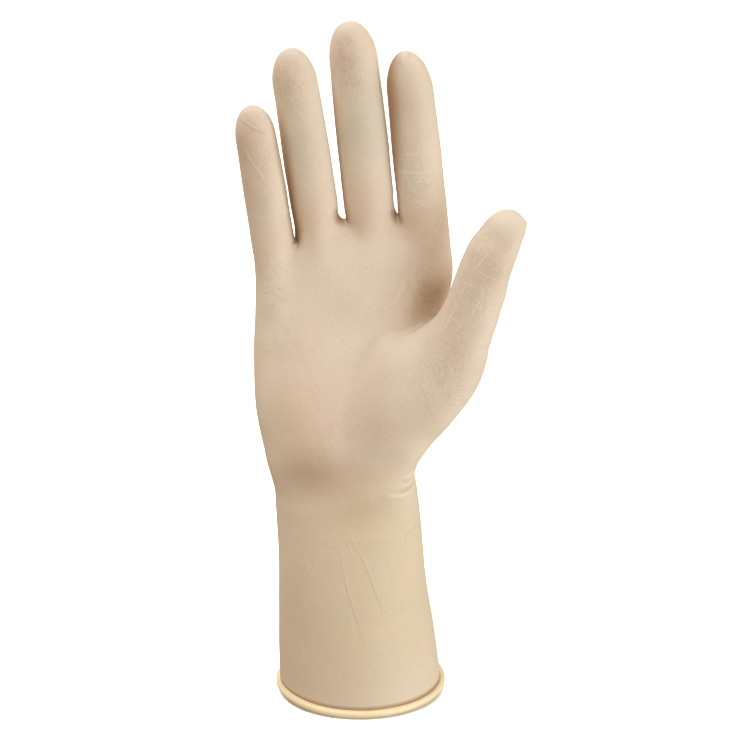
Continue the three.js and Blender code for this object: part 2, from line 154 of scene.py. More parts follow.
def pick_faces(piece: bpy.types.Object, wanted: np.ndarray) -> None:
    """Enters edit mode with some faces selected and nothing else.

    Args:
        piece: A mesh object.
        wanted: True for each face to select.
    """
    alone(piece)
    bpy.ops.object.mode_set(mode="EDIT")
    bpy.ops.mesh.select_mode(type="FACE")
    bpy.ops.mesh.select_all(action="DESELECT")
    cage = bmesh.from_edit_mesh(piece.data)
    for face, chosen in zip(cage.faces, wanted):
        if chosen:
            face.select_set(True)
    bmesh.update_edit_mesh(piece.data)


def pick_open_edges(piece: bpy.types.Object) -> None:
    """Enters edit mode with a piece's open edges selected and nothing else.

    Args:
        piece: A mesh object.
    """
    alone(piece)
    bpy.ops.object.mode_set(mode="EDIT")
    bpy.ops.mesh.select_mode(type="EDGE")
    bpy.ops.mesh.select_all(action="DESELECT")
    bpy.ops.mesh.select_non_manifold(
        extend=False, use_wire=False, use_multi_face=False, use_non_contiguous=False, use_verts=False
    )


def lengthen(piece: bpy.types.Object, move: Vector) -> None:
    """Draws a film's open edge out by one row of faces.

    Args:
        piece: An open mesh.
        move: How far the new edge lies from the old one, in metres.
    """
    pick_open_edges(piece)
    bpy.ops.mesh.extrude_region_move(TRANSFORM_OT_translate={"value": move})
    bpy.ops.object.mode_set(mode="OBJECT")


def rounded(piece: bpy.types.Object, levels: int) -> None:
    """Subdivides a net smoothly, with its corners kept in their places.

    Args:
        piece: A mesh of mostly four-sided faces.
        levels: How many times each face is parted in four.
    """
    corners = places(piece)
    alone(piece)
    smooth = piece.modifiers.new("smooth", "SUBSURF")
    smooth.levels = smooth.render_levels = 1
    cage = corners.copy()
    for _ in range(3):
        put(piece, cage)
        whole = piece.evaluated_get(bpy.context.evaluated_depsgraph_get())
        reached = np.array([v.co for v in whole.data.vertices[: len(corners)]], float)
        cage += corners - reached
    put(piece, cage)
    smooth.levels = smooth.render_levels = levels
    bpy.ops.object.modifier_apply(modifier="smooth")


def eased(share: np.ndarray) -> np.ndarray:
    """Eases shares from 0 to 1 in and out.

    Args:
        share: Any numbers; what is outside 0 to 1 is cut off.

    Returns:
        Numbers from 0 to 1.
    """
    t = np.clip(share, 0, 1)
    return t * t * (3 - 2 * t)


def sheltered(piece: bpy.types.Object, reach: float, ways: int) -> np.ndarray:
    """Works out how far each vertex lies in a hollow or beside another part of its piece.

    Args:
        piece: A mesh object.
        reach: How far the shelter may be away, in millimetres.
        ways: In how many directions each vertex looks for it.

    Returns:
        One number for each vertex, from 0 in the open to 1.
    """
    spots, facing = places(piece), facings(piece)
    tree = BVHTree.FromObject(piece, bpy.context.evaluated_depsgraph_get())
    shelter = np.zeros(len(spots))
    step = math.pi * (3 - math.sqrt(5))
    spread = [(math.sqrt((k + 0.5) / ways), k * step) for k in range(ways)]
    for i, (spot, out) in enumerate(zip(spots, facing)):
        out = Vector(out)
        side = out.orthogonal().normalized()
        other = out.cross(side)
        start = Vector(spot) + out * 0.4 * MM
        for radius, turn in spread:
            flat = side * (radius * math.cos(turn)) + other * (radius * math.sin(turn))
            way = flat + out * math.sqrt(1 - radius * radius)
            gap = tree.ray_cast(start, way, reach * MM)[3]
            if gap is not None:
                shelter[i] += 1 - gap / (reach * MM)
    return evened(piece, shelter / ways, 4)


def evened(piece: bpy.types.Object, values: np.ndarray, rounds: int) -> np.ndarray:
    """Evens out values between neighbouring vertices.

    Args:
        piece: A mesh object.
        values: One number for each vertex.
        rounds: How many times each value moves to the middle of its neighbours.

    Returns:
        The evened values.
    """
    ends = np.empty(len(piece.data.edges) * 2, np.int32)
    piece.data.edges.foreach_get("vertices", ends)
    a, b = ends.reshape(-1, 2).T
    counts = np.bincount(a, minlength=len(values)) + np.bincount(b, minlength=len(values))
    for _ in range(rounds):
        sums = np.bincount(a, values[b], len(values)) + np.bincount(b, values[a], len(values))
        values = 0.5 * values + 0.5 * sums / np.maximum(counts, 1)
    return values


# Folds and forms of the film


# Points of a fold's line from one point of its path to the next
LINE_STEPS = 8
# Film further than this from a fold's line, the way it faces, lies on another side of the glove
SAME_SIDE = 5 * MM
# A lap's height in its middle, and how much it gains towards its upper edge
LAP_MIDDLE, LAP_LEAN = 0.45, 1.9


class Section(Enum):
    """Shape of a fold, cut across."""

    RIDGE = "ridge"
    FURROW = "furrow"
    LAP = "lap"


@dataclass(frozen=True)
class Fold:
    """A line along which the film is raised or pressed in. Sizes are in millimetres.

    The taper is the share of the line over which each end fades. The tint is painted highlight on the fold's
    raised side and painted shade on its sunk side. The shade is painted shade along the line; with side at
    -1 or 1, only film that faces left or right takes it.
    """

    name: str
    reach: float
    height: float
    section: Section = Section.RIDGE
    taper: float = 0.3
    tint: float = 0.0
    shade: float = 0.0
    side: int = 0
    path: tuple[Point, ...] = ()

    def line(self) -> np.ndarray:
        """Runs a smooth line through the path's points.

        Returns:
            Points along the line, in metres.
        """
        points = np.array(self.path, float) * MM
        ends = np.vstack([2 * points[0] - points[1], points, 2 * points[-1] - points[-2]])
        t = np.linspace(0, 1, LINE_STEPS + 1)[:-1, None]
        parts = []
        for a, b, c, d in zip(ends, ends[1:], ends[2:], ends[3:]):
            bend, turn = 2 * a - 5 * b + 4 * c - d, 3 * b - a - 3 * c + d
            parts.append(0.5 * (2 * b + (c - a) * t + bend * t**2 + turn * t**3))
        return np.vstack([*parts, points[-1:]])

    def near(self, spots: np.ndarray, margin: float) -> np.ndarray:
        """Finds what lies by the fold.

        Args:
            spots: Places in metres.
            margin: Greatest distance in millimetres.

        Returns:
            True for each spot within the margin.
        """
        line = self.line()
        boxed = np.flatnonzero(self.boxed(spots, margin))
        gaps = np.full(len(boxed), np.inf)
        for a, b in zip(line, line[1:]):
            way = b - a
            offset = spots[boxed] - a
            share = np.clip(offset @ way / (way @ way), 0, 1)
            gaps = np.minimum(gaps, np.linalg.norm(offset - share[:, None] * way, axis=1))
        by = np.zeros(len(spots), bool)
        by[boxed] = gaps < margin * MM
        return by

    def laid_on(self, tree: BVHTree) -> "Fold":
        """Moves the fold's points to the nearest places on the film.

        Args:
            tree: The film's outer face.

        Returns:
            The same fold, laid on the film.
        """
        points = (tree.find_nearest(Vector(point) * MM)[0] / MM for point in self.path)
        return replace(self, path=tuple(tuple(point) for point in points))

    def boxed(self, spots: np.ndarray, margin: float) -> np.ndarray:
        """Finds what lies in the box round the fold, grown by a margin in millimetres."""
        points = np.array(self.path, float) * MM
        low, high = points.min(axis=0) - margin * MM, points.max(axis=0) + margin * MM
        return np.all((spots > low) & (spots < high), axis=1)

    def depth(self, spots: np.ndarray, facing: np.ndarray) -> np.ndarray:
        """Works out how far the fold stands out at each spot.

        Args:
            spots: Places on the film, in metres.
            facing: The film's outward directions there.

        Returns:
            Shares of the fold's height, below 0 where the film sinks.
        """
        by = self.boxed(spots, 2 * self.reach + 2)
        depth = np.zeros(len(spots))
        spots, facing = spots[by], facing[by]
        line = self.line()
        count = len(line) - 1
        best = np.full(len(spots), np.inf)
        across = np.zeros(len(spots))
        along = np.zeros(len(spots))
        for i, (a, b) in enumerate(zip(line, line[1:])):
            way = b - a
            share = (spots - a) @ way / (way @ way)
            if i > 0:
                share = np.maximum(share, 0)
            if i < count - 1:
                share = np.minimum(share, 1)
            offset = spots - a - share[:, None] * way
            lift = np.einsum("ij,ij->i", offset, facing)
            flat = offset - lift[:, None] * facing
            gap = np.linalg.norm(flat, axis=1) + np.where(np.abs(lift) > SAME_SIDE, 1.0, 0.0)
            side = np.cross(facing, way / np.linalg.norm(way))
            closer = gap < best
            best = np.where(closer, gap, best)
            across = np.where(closer, np.einsum("ij,ij->i", flat, side), across)
            along = np.where(closer, (i + share) / count, along)
        x = np.clip(best / (self.reach * MM), 0, 1)
        bell = (1 - x**2) ** 2
        if self.section is Section.FURROW:
            bell = -bell
        elif self.section is Section.LAP:
            signed = np.clip(across / (self.reach * MM), -1, 1)
            bell = bell * (LAP_MIDDLE + LAP_LEAN * signed)
        fade = eased(along / self.taper) * eased((1 - along) / self.taper)
        depth[by] = bell * fade
        return depth


@dataclass(frozen=True)
class Patch:
    """A soft round area of the film: its middle, and its reach each way, in millimetres."""

    middle: Point
    reach: Point
    amount: float = 1.0

    def cover(self, spots: np.ndarray) -> np.ndarray:
        """Works out how strongly the patch covers each spot.

        Args:
            spots: Places in metres.

        Returns:
            Numbers from 0 to the patch's amount.
        """
        offset = (spots - np.array(self.middle) * MM) / (np.array(self.reach) * MM)
        away = np.linalg.norm(offset, axis=1)
        return self.amount * eased(1 - away)


@dataclass(frozen=True)
class Push:
    """A soft push of the film in one direction, in millimetres."""

    patch: Patch
    move: Point


# Each fold paints highlight on its raised side and shade on its sunk side; folds of height 0 only paint
# shade
FRONT_FOLDS = (
    # Three ridges at the thumb side of the wrist
    Fold("wrist_ridge_top", 1.7, 0.42, taper=0.35, tint=0.5, path=(
        (16.1, -15, 101.1), (19.1, -12.6, 100.2), (21.4, -9.6, 100.6), (23.4, -5.4, 102.4),
        (24.4, 0.5, 104.4),
    )),
    Fold("wrist_furrow_top", 1.2, 0.3, Section.FURROW, taper=0.35, tint=0.3, shade=0.25, path=(
        (15.6, -15.3, 99.8), (19.1, -12.9, 98.6), (21.8, -9.6, 99), (23.8, -5, 100.6), (24.6, 0.5, 102.6),
    )),
    Fold("wrist_ridge_middle", 1.7, 0.45, taper=0.35, tint=0.5, path=(
        (16.3, -15.2, 97.8), (19.6, -13, 97), (22.4, -9.8, 97.6), (24.2, -5, 99.4), (25, 0.5, 101.6),
    )),
    Fold("wrist_furrow_middle", 1.2, 0.3, Section.FURROW, taper=0.35, tint=0.3, shade=0.25, path=(
        (14.3, -16.6, 96.4), (18.2, -14.4, 95.2), (21.8, -11.2, 95.4), (24.2, -6, 97), (25, 0.5, 99.4),
    )),
    Fold("wrist_ridge_low", 2.1, 0.5, taper=0.35, tint=0.6, path=(
        (6.4, -20, 95.4), (10.9, -18.9, 94.5), (15, -17.3, 93.6), (18.8, -15, 93.2), (22.2, -12, 93.8),
        (24.6, -7.4, 95.6), (25.7, -1, 97.8),
    )),
    # Long creases down the cuff
    Fold("cuff_crease_left_top", 0.7, 0.08, tint=0.3, path=(
        (-12.1, -22.2, 82.6), (-11.6, -22.4, 79), (-10.9, -22.8, 76),
    )),
    Fold("cuff_crease_left", 0.9, 0.13, Section.LAP, taper=0.45, tint=0.35, shade=0.15, path=(
        (-10.5, -23.1, 76.4), (-10.3, -23.4, 73.4), (-9.4, -23.9, 69.4), (-7.5, -25, 62.1),
        (-5.4, -26.5, 52.1), (-3, -27.5, 45), (-1.8, -27.9, 41.5), (0.4, -28.8, 34), (3, -30, 25),
        (5, -30.7, 18),
    )),
    Fold("cuff_crease_right", 0.9, 0.13, Section.LAP, taper=0.22, tint=0.35, shade=0.15, path=(
        (-5.9, -22.8, 82), (-4.2, -23.3, 76.8), (-1.9, -24, 71.6), (1.1, -24.7, 66.8), (4.9, -25.4, 56.5),
        (8.6, -25.8, 46.5), (10.2, -25.9, 41),
    )),
    Fold("cuff_crease_right_low", 0.7, 0.08, taper=0.35, tint=0.3, path=(
        (8.6, -25.8, 44.5), (10.6, -25.6, 41.6), (12.8, -25.2, 38.8),
    )),
    Fold("cuff_crease_hook", 0.6, 0.08, tint=0.3, path=(
        (-14.2, -21.6, 72.4), (-12.4, -22.4, 73.2), (-11, -22.9, 72.8), (-9.9, -23.4, 73.2),
    )),
    Fold("cuff_crease_bridge", 0.6, 0.09, tint=0.3, path=(
        (-5.6, -23.1, 74.6), (-4.4, -23.5, 71.4), (-2.4, -24, 69.6), (0, -24.4, 69),
    )),
    Fold("cuff_vee_left", 0.7, 0.12, tint=0.4, path=(
        (-24.2, -19.8, 68.6), (-23.3, -20.5, 64.2), (-22.2, -21.3, 60.4), (-21.3, -22, 57.4),
    )),
    Fold("cuff_vee_right", 0.7, 0.12, tint=0.4, path=(
        (-19, -22.2, 66.4), (-19.7, -22.1, 63.2), (-20.6, -22.2, 60), (-21.3, -22, 57.4),
    )),
    Fold("cuff_vee_side", 0.7, 0.08, tint=0.3, path=(
        (-25.8, -19.4, 58.8), (-23.8, -20.6, 58.4), (-21.8, -21.8, 57.2),
    )),
    Fold("cuff_side_crease", 0.8, 0.1, taper=0.4, tint=0.35, path=(
        (17.2, -17.5, 78), (17.8, -17.5, 73), (19.2, -17.9, 67.5),
    )),
    Fold("cuff_low_crease", 0.8, 0.08, taper=0.4, tint=0.2, path=(
        (14.6, -24, 48), (15.6, -24, 44), (15.2, -24.2, 39.6),
    )),
    Fold("cuff_line_end", 0.8, 0.06, Section.FURROW, tint=0.1, shade=0.15, path=(
        (17, -16.6, 76.4), (20, -14.6, 75.9), (22.6, -11.6, 77), (24.4, -7.6, 79),
    )),
    Fold("cuff_line_start", 0.8, 0.06, Section.FURROW, tint=0.1, shade=0.12, path=(
        (-31.6, -12.6, 80.4), (-30.6, -14, 78.6), (-28.8, -15.8, 77.6),
    )),
    # Small finger: one lap over its tip and one crease down its pad
    Fold("small_tip_lap", 1.2, 0.13, Section.LAP, tint=0.2, shade=0.25, path=(
        (-37.8, -2, 248.4), (-40.1, -3, 248.9), (-42.5, -3.7, 249.8), (-45.4, -3.6, 251.5),
        (-47.9, -2.6, 253.2), (-49.4, -0.4, 255),
    )),
    Fold("small_pad_crease", 0.8, 0.15, tint=0.5, path=(
        (-48.6, -0.9, 243), (-46.9, -1, 238.6), (-44.4, -0.7, 233.8), (-41.6, -0.4, 230),
        (-39.3, 0.4, 225.8),
    )),
    Fold("small_line", 0.8, 0.06, tint=0.3, path=(
        (-46.4, 5, 210), (-44.3, 3.3, 210.1), (-37.9, 1.6, 211), (-31.7, 4.5, 211.1),
    )),
    # Painted shade down the small finger's right side
    Fold("small_side_shade", 4, 0, taper=0.15, shade=0.85, side=1, path=(
        (-41.3, 3.4, 259), (-38.6, 2.6, 252), (-36.8, 3.2, 244.7), (-35.6, 4.6, 238.1),
        (-34.1, 6.3, 229.2),
        (-32.6, 7.7, 220.4), (-31.2, 8.6, 212), (-29.2, 9.6, 205),
    )),
    # Painted shade down the thumb's left side
    Fold("thumb_side_shade", 6, 0, taper=0.25, shade=0.6, side=-1, path=(
        (38.5, -8, 181.5), (39.6, -10, 185), (42.8, -13, 192), (47.2, -14, 203), (51.4, -15, 211.5),
        (56.5, -17, 218),
    )),
    Fold("thumb_step_top", 1, 0.4, tint=0.2, path=(
        (48, -26, 163.8), (51.6, -23.6, 163), (53.6, -20, 162.6), (54, -15, 162.4),
    )),
    Fold("thumb_step_low", 1, 0.35, tint=0.2, path=(
        (46, -26, 157), (50, -23.6, 156.4), (52, -20, 156), (52.4, -15, 155.8),
    )),
    # Index finger: a pinched corner from its tip down its left side, and lines across it
    Fold("index_corner", 2.4, 0.16, path=(
        (18.2, 11.5, 280.8), (16.9, 8, 278.6), (15.9, 6, 275.5), (15.6, 4.6, 270), (15.6, 4.8, 263),
        (16, 5.9, 255.2), (16.4, 6.6, 247.4), (16.6, 7.5, 238.8),
    )),
    # Painted shade down the index finger's left side
    Fold("index_side_shade", 8, 0, taper=0.12, shade=1, side=-1, path=(
        (17, 12.6, 281), (14, 9.6, 275.6), (12.4, 7.8, 268), (12.4, 7.8, 262), (12.6, 8.8, 255),
        (12.9, 10, 246), (13.2, 11.4, 236), (13.6, 12.4, 226), (14.2, 13, 214),
    )),
    Fold("index_tip_ridge", 1.3, 0.22, taper=0.4, tint=0.5, path=(
        (18.8, 10, 280.6), (18.6, 7.6, 278.6), (18.2, 5.6, 275.8), (17.8, 4.2, 272.6),
    )),
    Fold("index_tip_furrow", 1.1, 0.16, Section.FURROW, taper=0.4, tint=0.2, shade=0.2, path=(
        (20.4, 9.6, 280.4), (20.2, 7.2, 278.4), (19.8, 5.4, 275.8),
    )),
    Fold("index_line_top", 0.8, 0.08, taper=0.35, tint=0.5, path=(
        (14.6, 9.8, 236.6), (18, 6.4, 236.9), (22.9, 4.9, 237.2), (28, 6, 237.3), (33.4, 10.4, 237.4),
    )),
    Fold("index_line_upper", 0.8, 0.11, taper=0.35, tint=0.7, path=(
        (14.6, 11.2, 228.6), (18.5, 7, 229.2), (24.2, 4.9, 229.5), (29.5, 6.4, 229.6),
        (34.6, 11.4, 229.4),
    )),
    Fold("index_line_middle", 0.8, 0.1, taper=0.35, tint=0.6, path=(
        (20, 6, 225), (24.2, 4.7, 225.6), (29.5, 6, 226), (34.8, 10.6, 226.3),
    )),
    Fold("index_line_low", 0.8, 0.07, taper=0.35, tint=0.5, path=(
        (18, 5.8, 216.6), (21, 4.4, 216.9), (25.1, 3.8, 216.9), (30.5, 5, 216.9), (35.4, 9.4, 216.6),
    )),
    Fold("middle_line", 0.8, 0.05, tint=0.2, path=(
        (-8.5, 12.4, 234.8), (-3.5, 7.4, 234.8), (2, 6.1, 234.8), (7, 7.6, 234.8), (11.7, 12.3, 234.8),
    )),
    # Painted shade down the middle finger's left side
    Fold("middle_side_shade", 3, 0, taper=0.2, shade=0.8, side=-1, path=(
        (-12, 12, 276), (-11.6, 12.4, 267), (-10.8, 13, 259), (-10, 13.2, 250.7), (-9.2, 13.6, 242),
        (-8.4, 13.8, 233), (-8, 14, 224), (-8.4, 14, 214),
    )),
    Fold("ring_line", 0.8, 0.05, tint=0.2, path=(
        (-32.4, 5.3, 223.9), (-27.8, 4.6, 223.8), (-23.2, 5.4, 223.8), (-18, 5.9, 223.9),
        (-13.6, 7.9, 224.1),
    )),
    Fold("ring_pad_line", 0.8, 0.08, taper=0.4, tint=0.2, path=(
        (-28, 3.6, 258), (-25.6, 4.2, 254.6), (-23.4, 5.6, 251), (-21.4, 7.4, 247.6),
    )),
    # Thumb: light lines down its front
    Fold("thumb_line_top", 0.7, 0.12, tint=0.9, path=(
        (53.2, -27.1, 205.1), (51.6, -27.4, 201.8), (48.8, -26.8, 197.9), (46, -25.7, 193.8),
    )),
    Fold("thumb_line_left", 0.8, 0.14, taper=0.25, tint=1, path=(
        (42.5, -24.6, 185.4), (40.5, -24, 181), (38.1, -23.2, 175.6), (35.7, -22.7, 170.3),
        (33.2, -22.3, 166.7),
    )),
    Fold("thumb_line_right", 0.8, 0.09, tint=0.7, path=(
        (52.5, -28.1, 191.9), (50.2, -27.6, 185.8), (47.8, -27.2, 180.6), (45.4, -26.9, 175.3),
        (43, -26.6, 170.1),
    )),
    Fold("thumb_line_across", 0.8, 0.06, tint=0.5, path=(
        (42, -22, 189), (46, -25, 188.6), (51, -27.6, 187.6), (57, -25.6, 185.6),
    )),
    Fold("ball_line_left", 0.7, 0.1, taper=0.35, tint=0.7, path=(
        (17.6, -21.2, 147.8), (18.6, -21.8, 142), (20.2, -22.4, 136),
    )),
    Fold("ball_line_middle", 0.8, 0.12, tint=0.8, path=(
        (25.6, -22.6, 151), (27.4, -23.6, 144.6), (29.4, -24.2, 138.4), (31.6, -23.8, 132),
    )),
    Fold("ball_line_right", 0.8, 0.1, taper=0.35, tint=0.7, path=(
        (37, -26, 150), (38.8, -26.2, 143), (41, -25.2, 136.6),
    )),
    # Crease and ridge that run from the thumb's hollow into the palm
    Fold("ball_ridge", 4.6, 0.35, taper=0.4, path=(
        (22.8, -2, 168.6), (18.6, -2.7, 166), (14.6, -4.6, 162.6), (10.6, -5.8, 159.6), (7, -5.6, 156.4),
    )),
    Fold("ball_crease", 1.3, 0.16, Section.LAP, taper=0.35, tint=0.5, shade=0.12, path=(
        (23, -2.6, 165.4), (20.6, -3, 164), (18, -3.9, 162.6), (14.6, -5.9, 160.4), (10.4, -6.5, 158.2),
        (6.9, -5.5, 156.8),
    )),
    Fold("ball_crease_low", 1.1, 0.1, taper=0.4, tint=0.3, path=(
        (19, -5.4, 160.6), (15.6, -7, 158.6), (11.8, -7.4, 156.4), (8.6, -6.6, 154.9),
    )),
)

FORM_PUSHES = (
    # Fingertips
    Push(Patch((23, 9, 282), (11, 13, 9)), (-1.7, 0, 0)),
    Push(Patch((31, 9, 275), (10, 13, 12)), (-0.9, 0, -0.2)),
    Push(Patch((-4, 8, 289), (15, 14, 14)), (-0.7, 0, 0)),
    Push(Patch((67.2, -24, 214.4), (4, 9, 3.4)), (0.9, 0, 0.3)),
    Push(Patch((66.4, -25, 206.5), (6, 11, 6)), (-0.9, 0, 0)),
    # Outline of the thumb and its ball
    Push(Patch((60.5, -22, 183.5), (10, 14, 11)), (0.8, 0, 0)),
    Push(Patch((53, -20, 162), (11, 16, 12)), (-1.2, 0, 0)),
    Push(Patch((42, -18, 133), (13, 16, 16)), (-1.1, 0, 0)),
    # The palm's hollow is shallow, and the heel hangs over the wrist
    Push(Patch((-8, -8, 143), (18, 20, 30)), (0, -2, 0)),
    Push(Patch((2, -10, 138), (20, 20, 30)), (0, -1.6, 0)),
    Push(Patch((-21, -17, 120), (26, 16, 18)), (0, -0.4, 0)),
    Push(Patch((-16, -18, 102), (30, 14, 15)), (0, 0.6, 0)),
    Push(Patch((24, -15, 110), (16, 16, 13)), (0.4, -1.6, 0)),
    Push(Patch((28, 1, 174), (14, 12, 14)), (0, 1.6, 0)),
    # Webs between the fingers
    Push(Patch((-27.8, 9, 204), (5.5, 13, 12)), (1.2, 0, -6)),
    Push(Patch((-7.5, 10, 207.5), (5.5, 9, 7)), (-0.2, 0, -0.6)),
    Push(Patch((15.4, 10, 210.5), (4.5, 10, 7)), (-0.4, 0, -1.6)),
    Push(Patch((-10, 9.5, 211), (3.6, 9, 5.5)), (0, 0, -2)),
    # The cuff's low left side
    Push(Patch((-36, -4, 26), (16, 30, 36)), (-0.75, 0, 0)),
)

ROSY_AREAS = (
    Patch((-45, -1, 246), (14, 14, 20), 0.7),
    Patch((-42, 2, 228), (12, 14, 18), 0.5),
    Patch((-38, 3, 200), (14, 14, 18), 0.7),
    Patch((-31, 3, 272), (12, 14, 16), 0.9),
    Patch((-20, 6, 212), (14, 16, 20), 0.9),
    Patch((-6, 5, 278), (12, 14, 18), 0.9),
    Patch((3, 6, 216), (14, 16, 22), 1),
    Patch((22, 5, 256), (14, 16, 24), 0.6),
    Patch((26, 4, 210), (14, 14, 20), 0.9),
    Patch((-22, -14, 130), (30, 26, 36), 1),
    Patch((-30, -6, 160), (20, 20, 26), 0.6),
    Patch((52, -26, 200), (14, 14, 24), 0.9),
    Patch((38, -24, 166), (14, 14, 26), 0.7),
    Patch((30, -24, 146), (22, 18, 22), 0.6),
    Patch((14, -18, 106), (16, 14, 12), 0.5),
    Patch((-5, -22, 84), (14, 12, 16), 0.4),
)
GREY_AREAS = (
    Patch((-26, 6, 240), (16, 16, 24), 0.9),
    Patch((1, 6, 248), (17, 17, 26), 1),
    Patch((24, 5, 226), (14, 14, 12), 0.7),
    Patch((25, 4, 254), (14, 14, 24), 0.35),
    Patch((-3, 4, 268), (14, 12, 14), 0.4),
    Patch((-41, 2, 214), (13, 14, 12), 0.6),
    Patch((4, -18, 112), (20, 16, 16), 0.3),
)
CREAMY_AREAS = (
    Patch((6, -10, 36), (52, 46, 66), 1.2),
    Patch((4, -10, 84), (50, 46, 34), 0.7),
)
MAUVE_AREAS = (
    Patch((-31, 3, 274), (9, 10, 11), 1),
    Patch((-6, 4, 281), (10, 10, 15), 1),
    Patch((-44, -4, 184), (7, 12, 12), 0.8),
)
# Painted shade under the heel, over the wrist and in the hollow behind the thumb
SHADED_AREAS = (
    Patch((-14, -20, 119), (15, 12, 12), 0.2),
    Patch((-18, -18, 104), (30, 13, 17), 0.6),
    Patch((2, -20, 93), (32, 13, 16), 0.32),
    Patch((36, 5.5, 181), (11, 10, 13), 0.6),
    Patch((31, 2, 174.5), (13, 8, 13), 0.68),
    Patch((25.5, -1, 169), (10, 7, 8), 0.36),
    Patch((24, 2, 182), (20, 12, 26), 0.12),
)
WRINKLED_AREAS = (
    Patch((36, -25, 148), (22, 16, 26), 1),
    Patch((50, -26, 196), (16, 16, 26), 1),
    Patch((42, -24, 174), (16, 14, 20), 0.8),
    Patch((24, 2, 178), (20, 16, 26), 0.9),
    Patch((32, 6, 206), (14, 12, 22), 0.6),
    Patch((-38, -2, 184), (18, 16, 24), 0.8),
    Patch((-36, -6, 164), (18, 16, 24), 0.5),
    Patch((-30, 4, 266), (12, 14, 18), 1),
    Patch((-5, 6, 272), (12, 14, 18), 1),
    Patch((24, 5, 228), (16, 14, 24), 0.7),
    Patch((-42, 0, 236), (12, 14, 24), 0.5),
    Patch((-6, -12, 116), (34, 20, 22), 0.15),
)
# Painted light on sides and slopes that the lamps leave darker, partly a paler film tone
PALE_AND_PAINTED_LIGHT_AREAS = (
    Patch((0.6, -18, 131), (13, 12, 14), 0.3),
    Patch((-34, 9, 240), (5, 9, 40), 0.8),
    Patch((-36, 6, 220), (5, 9, 24), 0.5),
    Patch((52, -16, 176), (16, 18, 30), 0.7),
    Patch((60, -18, 206), (10, 14, 20), 0.6),
    Patch((42, -18, 136), (18, 18, 24), 0.7),
    Patch((26, -22, 140), (26, 22, 34), 0.8),
    Patch((24, -14, 112), (20, 18, 22), 0.9),
    Patch((24, -8, 84), (14, 18, 40), 0.7),
    Patch((28, -8, 40), (16, 22, 50), 0.6),
    Patch((-4, 2, 186), (34, 18, 24), 0.7),
    Patch((6, -5, 162), (26, 18, 26), 0.6),
    Patch((-38, -4, 170), (16, 20, 46), 0.8),
    Patch((-40, -8, 118), (16, 20, 30), 0.6),
    Patch((-32, -6, 70), (12, 22, 40), 0.7),
)


AREAS = {
    "rosy": ROSY_AREAS,
    "grey": GREY_AREAS,
    "pale": PALE_AND_PAINTED_LIGHT_AREAS,
    "creamy": CREAMY_AREAS,
    "mauve": MAUVE_AREAS,
    "wrinkle": WRINKLED_AREAS,
}


@dataclass
class DressedPiece:
    """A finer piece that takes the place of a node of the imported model."""

    node: str
    slot: str
    body: str = "root"
    piece: bpy.types.Object | None = field(default=None, init=False)

    def dress(self, finish: "LatexFinish | BeadFinish") -> None:
        """Gives the piece its finish and its place in the part.

        Args:
            finish: What lays the finish on a piece.
        """
        finish.lay_on(self.piece)
        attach(self.piece, self.body)
        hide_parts(self.node)


